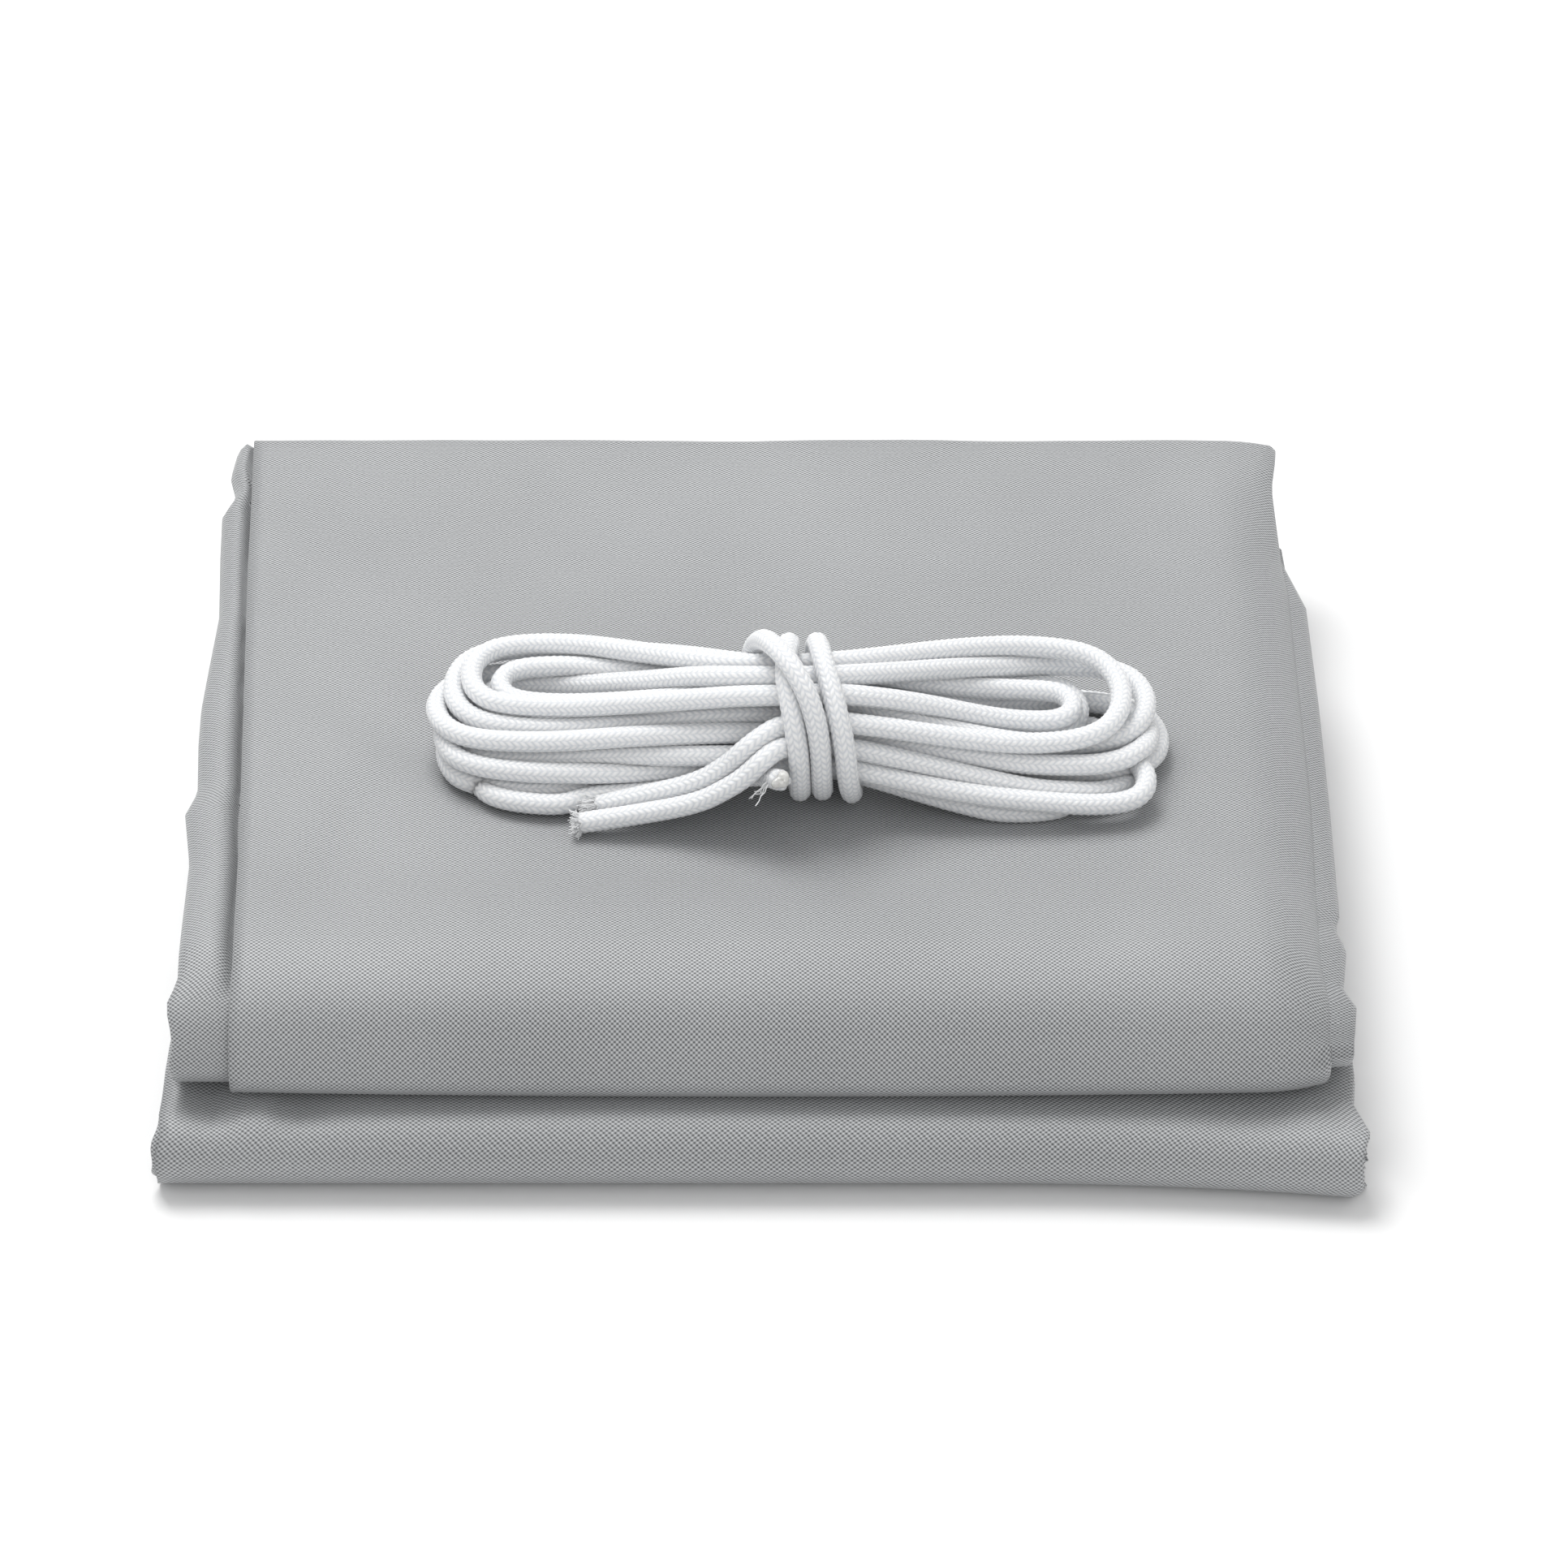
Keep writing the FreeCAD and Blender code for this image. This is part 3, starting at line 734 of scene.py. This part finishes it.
def path_rows(outer_half):
    """Rows along the ribbon from its top back crease to its free ends.

    Each row is (level, outer y, outer z, inner y, inner z); outer is the visible side. The
    outer half of the sheet's length has more rows than the inner half, which hardly shows.
    """
    step, hidden_step = (ROW_MM, HIDDEN_ROW_MM) if outer_half else (PLAIN_ROW_MM, PLAIN_ROW_MM)
    rows = []
    start_y, start_z = UPPER_START_MM
    top_back = BACK_MM - TOP_BACK_MM
    back = BACK_MM - BACK_TURN_MM
    low = FRONT_MM + LOW_TURN_MM
    end = BACK_MM - FREE_END_MM
    count = int((top_back - start_y) / step)
    for k in range(count):
        y = top_back + (start_y - top_back) * k / count
        rows.append((1, y, None, y, UPPER_CORE_MM))
    turn = UPPER_FOLD if outer_half else UPPER_FOLD[::2]
    for k, (ahead, below) in enumerate(turn):
        share = k / (len(turn) - 1)
        inner_y = FRONT_MM + UPPER_NOSE_MM + NOSE_SWING_MM * abs(2 * share - 1) ** 1.5
        inner_z = UPPER_CORE_MM + (UPPER_CORE_BACK_MM - UPPER_CORE_MM) * share
        rows.append((1.5, start_y - ahead, start_z - below, inner_y, inner_z))
    count = int((back - LEVEL_TWO_MM) / hidden_step)
    for k in range(1, count + 1):
        y = LEVEL_TWO_MM + (back - LEVEL_TWO_MM) * k / count
        rows.append((2, y, MIDDLE_MM + GAP_MM, y, UPPER_CORE_BACK_MM))
    for k in range(1, FOLD_ROWS):
        a = math.pi * k / FOLD_ROWS
        # Seen from outside, this fold turns the ribbon's inner side outwards.
        rows.append((
            2.5, BACK_MM - BACK_REACH_MM + BACK_NOSE_MM * math.sin(a),
            MIDDLE_MM + GAP_MM * math.cos(a), back + BACK_REACH_MM * math.sin(a),
            MIDDLE_MM + (UPPER_CORE_BACK_MM - MIDDLE_MM) * math.cos(a),
        ))
    count = int((back - low) / hidden_step)
    for k in range(count):
        y = back + (low - back) * k / count
        dip = LOW_DIP_MM * ramp((DIP_FROM_MM - y) / DIP_RUN_MM) ** 1.5
        rows.append((3, y, MIDDLE_MM - GAP_MM - dip, y, LOWER_CORE_MM + CORE_HALF_MM))
    steps = 16 if outer_half else 8
    for k in range(steps + 1):
        a = math.pi * k / steps
        rows.append((
            3.5, low - LOW_REACH_MM * math.sin(a) ** 0.9,
            LOWER_CORE_MM - 0.5 * LOW_DIP_MM + (LOW_REACH_MM - 0.5 * LOW_DIP_MM) * math.cos(a),
            low - LOW_NOSE_MM * math.sin(a), LOWER_CORE_MM + CORE_HALF_MM * math.cos(a),
        ))
    count = int((end - low) / hidden_step)
    for k in range(1, count + 1):
        y = low + (end - low) * k / count
        rows.append((4, y, GAP_MM, y, LOWER_CORE_MM - CORE_HALF_MM))
    return rows


def bumps(table, x, y):
    """The sum of a table's soft bumps and hollows at one place, in millimetres."""
    total = 0.0
    for height, at_x, at_y, length, depth, *turned in table:
        c, s = math.cos(sum(turned)), math.sin(sum(turned))
        u, v = (x - at_x) * c + (y - at_y) * s, -(x - at_x) * s + (y - at_y) * c
        total += height * math.exp(-((u / length) ** 2) - (v / depth) ** 2)
    return total


def swell(x, y):
    """How far the top of the packet stands above its trough, in millimetres.

    It rises to a ridge above the front fold and to the crease at the back, and is soft between.
    """
    z = 1.2 * math.exp(-(((y + 74) / 20) ** 2)) + 2.0 * math.exp(-(((y - 112) / 26) ** 2))
    wander = 0.9 * math.sin(x * 0.031 + 1.0)
    ripple = math.sin(x * 0.091 + 0.7 * math.sin(y * 0.043)) * math.sin(y * 0.067 + wander)
    curl = 1.1 * math.sin(x * 0.13)
    fine = math.sin(x * 0.23 + 1.3 * math.sin(y * 0.11)) * math.sin(y * 0.19 + curl)
    return z + bumps(TOP_BUMPS, x, y) + 0.22 * ripple + 0.06 * fine


def columns():
    """Columns across the fan: (layer, share of its width from the left, turn of a fold)."""
    width = 1000 * SHEET_WIDTH / LAYERS
    out = []
    for layer in range(LAYERS):
        count = int(width / (COLUMN_MM if layer == 0 else PLAIN_COLUMN_MM))
        shares = np.linspace(0, 1, count + 1)
        if layer == 1:
            # Its left end shows beside the top layer, so it has more columns there.
            shares = np.r_[np.linspace(0, 0.1, 20), np.linspace(0.11, 1, count)]
        if layer % 2:
            shares = shares[::-1]
        out += [(layer, float(s), 0.0) for s in shares]
        if layer < LAYERS - 1:
            out += [(layer, float(shares[-1]), k / SIDE_STEPS) for k in range(1, SIDE_STEPS)]
    return out


def layer_edges(level, y, layer, outer_half, wave):
    """The x of a layer's left and right ends, and of the left side's folds beside it."""
    if level <= 1.5:
        top_layer = layer == 0 and outer_half
        free = edge(TOP_LEFT, y) if top_layer else edge(NEXT_LEFT, y) + 4 + wave
        left = edge(NEXT_LEFT, y) + (0 if outer_half else 1.5 + wave)
        right = edge(TOP_RIGHT if layer < 2 and outer_half else NEXT_RIGHT, y)
        right += 0 if outer_half else wave - 1.0
    elif level <= 2.5:
        free = left = edge(NEXT_LEFT, y) + wave
        right = edge(NEXT_RIGHT, y) + wave * 0.7
    else:
        free = left = edge(LOW_LEFT, y) + 0.6 * wave + (0.3 if layer else 0.0)
        right = edge(LOW_RIGHT, y) + 0.5 * wave - (0.4 if layer > 1 else 0.0)
    begins = free if layer in (0, LAYERS - 1) else left
    if layer == 0 and outer_half and 1.5 < level < 3:
        begins = edge(TOP_LEFT, y)
    return begins, right, left


def outer_height(row, x, layer, outer_half, left):
    """The height of the ribbon's outer side at one place, with its rolls, sags and dents."""
    level, y, z = row[:3]
    swollen = 0.0  # how much of the top's shape a place has
    height = z
    if level == 1:
        swollen, height = 1.0, TOP_MM + swell(x, y)
    elif level == 1.5:
        if z > SWELL_ABOVE_MM:
            swollen = max(0.0, 1 - 1.6 * (UPPER_START_MM[0] - y) / UPPER_REACH_MM)
        height += (TOP_MM + swell(x, y) - UPPER_START_MM[1]) * swollen
        if z < SAG_BELOW_MM:
            share = min(1.0, (SAG_BELOW_MM - z) / SAG_RUN_MM)
            height -= SAG_MM * max(0.0, 1 - (x / SAG_OUT_MM) ** 2) * share
    elif 3 <= level <= 3.5 and z > LOWER_CORE_MM and y < BUMPY_FROM_MM:
        height += bumps(LOW_BUMPS, x, y) * min(1.0, (BUMPY_FROM_MM - y) / 6)
    if layer == 1 and outer_half and swollen:
        # Outside the top layer's free edge the next fold is a soft roll, with a groove between.
        s = (x - left) / (edge(TOP_LEFT, y) - left)
        height += swollen * ROLL_MM * math.sin(math.pi * min(1.0, s))
        height -= swollen * GROOVE_MM * math.exp(-(((s - 1.02) / 0.16) ** 2))
    return height


def cloth_point(row, column, number, outer_half):
    """Where one row and one column of the sheet cross, in millimetres."""
    level, outer_y, outer_z, inner_y, inner_z = row
    layer, share, turn = column
    sign = 1 if outer_half else -1
    wave = 0.5 * math.sin(number * 0.9 + layer * 2.1 + sign) + 0.6 * math.sin(number * 0.37 + layer)
    begins, right, left = layer_edges(level, outer_y, layer, outer_half, wave)
    x = begins + (right - begins) * share
    if turn:
        x += math.copysign(BULGE_MM * math.sin(math.pi * turn), share - 0.5)
    # How near the layer is to the ribbon's outer side: one on it, nought on the inner side.
    depth = layer + turn
    outwards = 0.5 + sign * (LAYERS - 0.5 - depth) / (2 * LAYERS - 1)
    if level <= 1.5:
        droop = max(0.0, (x - (right - DROOP_MM)) / DROOP_MM) ** 2.3
        droop *= 1 - 0.8 * ramp((outer_y - FADE_FROM_MM) / FADE_RUN_MM)
        high = level == 1 or outer_z > LOW_DROOP_BELOW_MM
        outwards *= 1 - (DROOP_SHARE if high else LOW_DROOP_SHARE) * droop
    elif depth > 0:
        outwards += 0.02 * wave
    height = outer_height(row, x, layer, outer_half, left)
    y = inner_y + outwards * (outer_y - inner_y)
    z = inner_z + outwards * (height - inner_z)
    if level >= 3:
        out = max(0.0, (x - EAR_FROM_MM[0]) / EAR_RUN_MM[0])
        y -= EAR_MM * out**2 * ramp((EAR_FROM_MM[1] - y) / EAR_RUN_MM[1])
    return x, y, z


def crease(above, below):
    """Rows round the top of the back, where the sheet is folded in half along its length."""
    rows = []
    for k in range(1, FOLD_ROWS):
        a = math.pi * k / FOLD_ROWS
        spread = np.abs(above[:, 2] - below[:, 2])[:, None] / CREASE_HIGH_MM
        mixed = 0.5 * (above + below) + 0.5 * (above - below) * math.cos(a)
        mixed[:, 1:2] += (CREASE_MM + CREASE_MORE_MM * spread) * math.sin(a)
        rows.append(mixed)
    return np.array(rows)


def make_cloth(name, material):
    """The folded sheet as one mesh, with UVs in metres along its threads."""
    cols = columns()
    halves = [
        np.array([
            [cloth_point(row, column, number, outer_half) for column in cols]
            for number, row in enumerate(path_rows(outer_half))
        ])
        for outer_half in (True, False)
    ]
    grid = np.concatenate([halves[0][::-1], crease(halves[0][0], halves[1][0]), halves[1]])
    rows, width = grid.shape[:2]
    # UVs start at the middle of the top layer, ten rows from the crease.
    beside = np.abs(grid[len(halves[0]) - 10, :, 0])
    middle = int(np.argmin(np.where([c[0] > 0 for c in cols], np.inf, beside)))
    run = np.linalg.norm(np.diff(grid, axis=1), axis=2)
    u = np.r_[0.0, np.cumsum(run.mean(axis=0))]
    u -= u[middle]
    run = np.linalg.norm(np.diff(grid, axis=0), axis=2)
    v = np.r_[0.0, np.cumsum(run.mean(axis=1))]
    v -= v[len(halves[0])]
    i, j = np.meshgrid(np.arange(rows - 1), np.arange(width - 1), indexing="ij")
    here = (i * width + j).ravel()
    quads = np.stack([here, here + width, here + width + 1, here + 1], 1)
    uvs = (np.stack(np.meshgrid(u, v), 2).reshape(-1, 2) * MM)[quads].reshape(-1, 2)
    piece = new_mesh(name, grid.reshape(-1, 3) * MM, quads.tolist(), uvs, material)
    thick = piece.modifiers.new("thickness", "SOLIDIFY")
    thick.thickness = CLOTH_MM * MM
    thick.offset = 0.0
    return piece


cover = make_cloth("cover_cloth_sheet", cloth_finish)
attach(cover, "packet")
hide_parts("cover")

# ---------------------------------------------------------------- cut and melted ends
def fray_tree():
    """Geometry Nodes for a cut braid end: filaments that start on a disc and splay outwards."""
    tree = bpy.data.node_groups.new("frayed_filaments", "GeometryNodeTree")
    face = tree.interface
    face.new_socket("Geometry", in_out="OUTPUT", socket_type="NodeSocketGeometry")
    for name, kind, default in (
        ("Filaments", "NodeSocketInt", 60),
        ("Length", "NodeSocketFloat", 2.4 * MM),
        ("Cord radius", "NodeSocketFloat", 2.0 * MM),
        ("Splay", "NodeSocketFloat", 0.5),
        ("Filament radius", "NodeSocketFloat", 0.09 * MM),
        ("Seed", "NodeSocketInt", 1),
        ("Finish", "NodeSocketMaterial", None),
    ):
        socket = face.new_socket(name, in_out="INPUT", socket_type=kind)
        if default is not None:
            socket.default_value = default
    given = node(tree, "NodeGroupInput").outputs
    chances = []
    # The direction and distance of a filament's foot, how much more it leans, and its length.
    for offset, low, high in (
        (0.0, 0.0, 2 * math.pi), (10.0, 0.0, 1.0), (20.0, -0.5, 0.9), (30.0, 0.45, 1.0),
    ):
        seed = node(tree, MATH, {0: given["Seed"], 1: offset}, operation="ADD")
        chance = node(
            tree, "FunctionNodeRandomValue", {2: low, 3: high, "Seed": seed}, data_type="FLOAT"
        )
        chances.append(chance.outputs[1])
    turn, spot, lean, size = chances
    out = node(tree, MATH, {0: spot, 1: 0.5}, operation="POWER")
    span = node(tree, MATH, {0: out, 1: given["Cord radius"]}, operation="MULTIPLY")
    cosine = node(tree, MATH, {0: turn}, operation="COSINE")
    sine = node(tree, MATH, {0: turn}, operation="SINE")
    across = node(tree, MATH, {0: span, 1: cosine}, operation="MULTIPLY")
    up = node(tree, MATH, {0: span, 1: sine}, operation="MULTIPLY")
    line = node(tree, "GeometryNodeMeshLine", {"Count": given["Filaments"]})
    place = node(tree, "ShaderNodeCombineXYZ", {"X": across, "Y": up})
    spots = node(tree, "GeometryNodeSetPosition", {"Geometry": line, "Position": place})
    tip = node(tree, "ShaderNodeCombineXYZ", {"Z": given["Length"]})
    strand = node(
        tree, "GeometryNodeCurvePrimitiveLine", {"Start": (0.0, 0.0, -0.6 * MM), "End": tip}
    )
    fine = node(tree, "GeometryNodeResampleCurve", {"Curve": strand, "Count": 7})
    leaning = node(tree, MATH, {0: out, 1: lean}, operation="ADD")
    tilt = node(tree, MATH, {0: leaning, 1: given["Splay"]}, operation="MULTIPLY")
    turned = node(tree, "ShaderNodeCombineXYZ", {"Y": tilt, "Z": turn})
    copies = node(
        tree, "GeometryNodeInstanceOnPoints",
        {"Points": spots, "Instance": fine, "Rotation": turned, "Scale": size},
    )
    real = node(tree, "GeometryNodeRealizeInstances", {"Geometry": copies})
    here = node(tree, "GeometryNodeInputPosition")
    noise = node(
        tree, "ShaderNodeTexNoise",
        {"Vector": here, "W": given["Seed"], "Scale": 900.0, "Detail": 1.0}, noise_dimensions="4D",
    )
    centred = node(
        tree, "ShaderNodeVectorMath", {0: noise.outputs["Color"], 1: (0.5, 0.5, 0.5)},
        operation="SUBTRACT",
    )
    parameter = node(tree, "GeometryNodeSplineParameter")
    wander = node(tree, MATH, {0: parameter, 1: 2.6 * MM}, operation="MULTIPLY")
    bent = node(tree, "ShaderNodeVectorMath", {0: centred, "Scale": wander}, operation="SCALE")
    waved = node(tree, "GeometryNodeSetPosition", {"Geometry": real, "Offset": bent})
    ring = node(
        tree, "GeometryNodeCurvePrimitiveCircle",
        {"Radius": given["Filament radius"], "Resolution": 4},
    )
    tubes = node(
        tree, "GeometryNodeCurveToMesh", {"Curve": waved, "Profile Curve": ring, "Fill Caps": True}
    )
    whole = node(tree, "GeometryNodeRealizeInstances", {"Geometry": tubes})
    finish = node(tree, "GeometryNodeSetMaterial", {"Geometry": whole, "Material": given["Finish"]})
    node(tree, "NodeGroupOutput", {"Geometry": finish})
    return tree


def grown(name, tree, values, at, towards):
    """The mesh that a tree makes, with its Z axis turned towards a direction."""
    holder = bpy.data.objects.new(name, bpy.data.meshes.new(name))
    bpy.context.collection.objects.link(holder)
    modifier = holder.modifiers.new("shape", "NODES")
    modifier.node_group = tree
    for item in tree.interface.items_tree:
        if item.in_out == "INPUT" and item.name in values:
            modifier[item.identifier] = values[item.name]
    graph = bpy.context.evaluated_depsgraph_get()
    mesh = bpy.data.meshes.new_from_object(holder.evaluated_get(graph))
    bpy.data.objects.remove(holder)
    turn = Vector(towards).to_track_quat("Z", "Y").to_matrix().to_4x4()
    mesh.transform(Matrix.Translation(at) @ turn)
    mesh.polygons.foreach_set("use_smooth", np.ones(len(mesh.polygons), bool))
    piece = bpy.data.objects.new(name, mesh)
    bpy.context.collection.objects.link(piece)
    return piece


END_POINTS = 12  # the points of a line that give the way its end points


def end_of(line, last=False):
    """The place of a cord's end and the way it points."""
    here, inside = (line[-1], line[-END_POINTS]) if last else (line[0], line[END_POINTS])
    return here, (here - inside) / np.linalg.norm(here - inside)


fraying = fray_tree()
near_tuft = grown(
    "frayed_end_near", fraying,
    {"Filaments": 150, "Length": 2.2 * MM, "Splay": 0.6, "Seed": 3, "Finish": filament_finish},
    *end_of(lines[0]),
)
far_tuft = grown(
    "frayed_end_far", fraying,
    {"Filaments": 170, "Length": 4.2 * MM, "Splay": 0.3, "Filament radius": 0.08 * MM, "Seed": 8,
     "Finish": filament_finish},
    *end_of(lines[1]),
)
# A few filaments hang out beside the melted end.
YARN_AT, YARN_WAY = HANK_ORIGIN + np.array([-3.0, -18.2, 14.6]) * MM, (-2.8, -1.0, -3.0)
yarn = grown(
    "loose_yarn", fraying,
    {"Filaments": 8, "Length": 6.0 * MM, "Cord radius": 0.35 * MM, "Splay": 0.25,
     "Filament radius": 0.13 * MM, "Seed": 5, "Finish": filament_finish},
    YARN_AT, YARN_WAY,
)
for loose in (near_tuft, far_tuft, yarn):
    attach(loose, "hank")


def melted_tip(name, line, material):
    """The bead that a flame leaves on a cord's end: a lopsided, flattened drop."""
    at, towards = end_of(line, last=True)
    turn = np.array(Vector(towards).to_track_quat("Z", "Y").to_matrix())
    around, levels = 28, 18
    half_width, half_height = 1.7 * MM, 1.3 * MM
    points, faces, uvs = [], [], []
    for level in range(levels + 1):
        a = math.pi * level / levels
        for k in range(around):
            b = 2 * math.pi * k / around
            lumps = 0.34 * math.sin(2 * b + 0.6) + 0.3 * math.sin(3 * b + 2.0 + 1.4 * a)
            across = (half_width + lumps * MM) * math.sin(a) ** 0.8
            high = half_height + 0.35 * math.cos(b + 0.8) * MM
            place = (across * math.cos(b), across * math.sin(b), -high * math.cos(a))
            points.append(turn @ np.array(place) + at)
    for level in range(levels):
        for k in range(around):
            n = (k + 1) % around
            low, high = level * around, (level + 1) * around
            faces.append((low + k, low + n, high + n, high + k))
            uvs += [(k / around, level / levels)] * 4
    piece = new_mesh(name, points, faces, uvs, material)
    merged = bmesh.new()
    merged.from_mesh(piece.data)
    bmesh.ops.remove_doubles(merged, verts=merged.verts, dist=0.001 * MM)
    bmesh.ops.recalc_face_normals(merged, faces=merged.faces)
    merged.to_mesh(piece.data)
    merged.free()
    return piece


bead = melted_tip("melted_bead", lines[0], melted_finish)
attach(bead, "hank")
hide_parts("melted_end")

for piece, line, nodes, ends in (
    (first_cord, lines[0], ("near_tail", "cord_turns", "melted_end"), (near_tuft, yarn, bead)),
    (second_cord, lines[1], ("far_tail", "cord_turns", "waist_wrap"), (far_tuft,)),
):
    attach(piece, "hank")
    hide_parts(*nodes)

# ---------------------------------------------------------------- floor and light
floor_material, floor_tree, floor_shader = new_material("painted_studio_floor")
floor_shader.inputs["Base Color"].default_value = linear("#f4f4f4")
floor_shader.inputs["Roughness"].default_value = 0.9
floor_mesh = bpy.data.meshes.new("studio_floor")
FLOOR_HALF = 6.0
around_it = ((-1, -1), (1, -1), (1, 1), (-1, 1))
floor_corners = [(x * FLOOR_HALF, y * FLOOR_HALF, 0) for x, y in around_it]
floor_mesh.from_pydata(floor_corners, [], [(0, 1, 2, 3)])
floor_mesh.materials.append(floor_material)
floor = bpy.data.objects.new("studio_floor", floor_mesh)
bpy.context.collection.objects.link(floor)


def soft_light(name, place, size, power):
    """A square area light that faces the packet."""
    data = bpy.data.lights.new(name, "AREA")
    data.shape = "SQUARE"
    data.size = size
    data.energy = power
    lamp = bpy.data.objects.new(name, data)
    lamp.location = place
    towards = Vector((0, 0, 0.02)) - Vector(place)
    lamp.rotation_euler = towards.to_track_quat("-Z", "Y").to_euler()
    bpy.context.collection.objects.link(lamp)


soft_light("overhead_softbox", (-0.35, 0.6, 1.45), 0.9, 19.5)
soft_light("front_fill", (0.4, -1.5, 0.9), 1.2, 3.4)
world = bpy.data.worlds.new("studio")
world.use_nodes = True
world.node_tree.nodes["Background"].inputs["Color"].default_value = linear("#ffffff")
world.node_tree.nodes["Background"].inputs["Strength"].default_value = 0.64
bpy.context.scene.world = world
bpy.context.scene.view_settings.view_transform = "Standard"
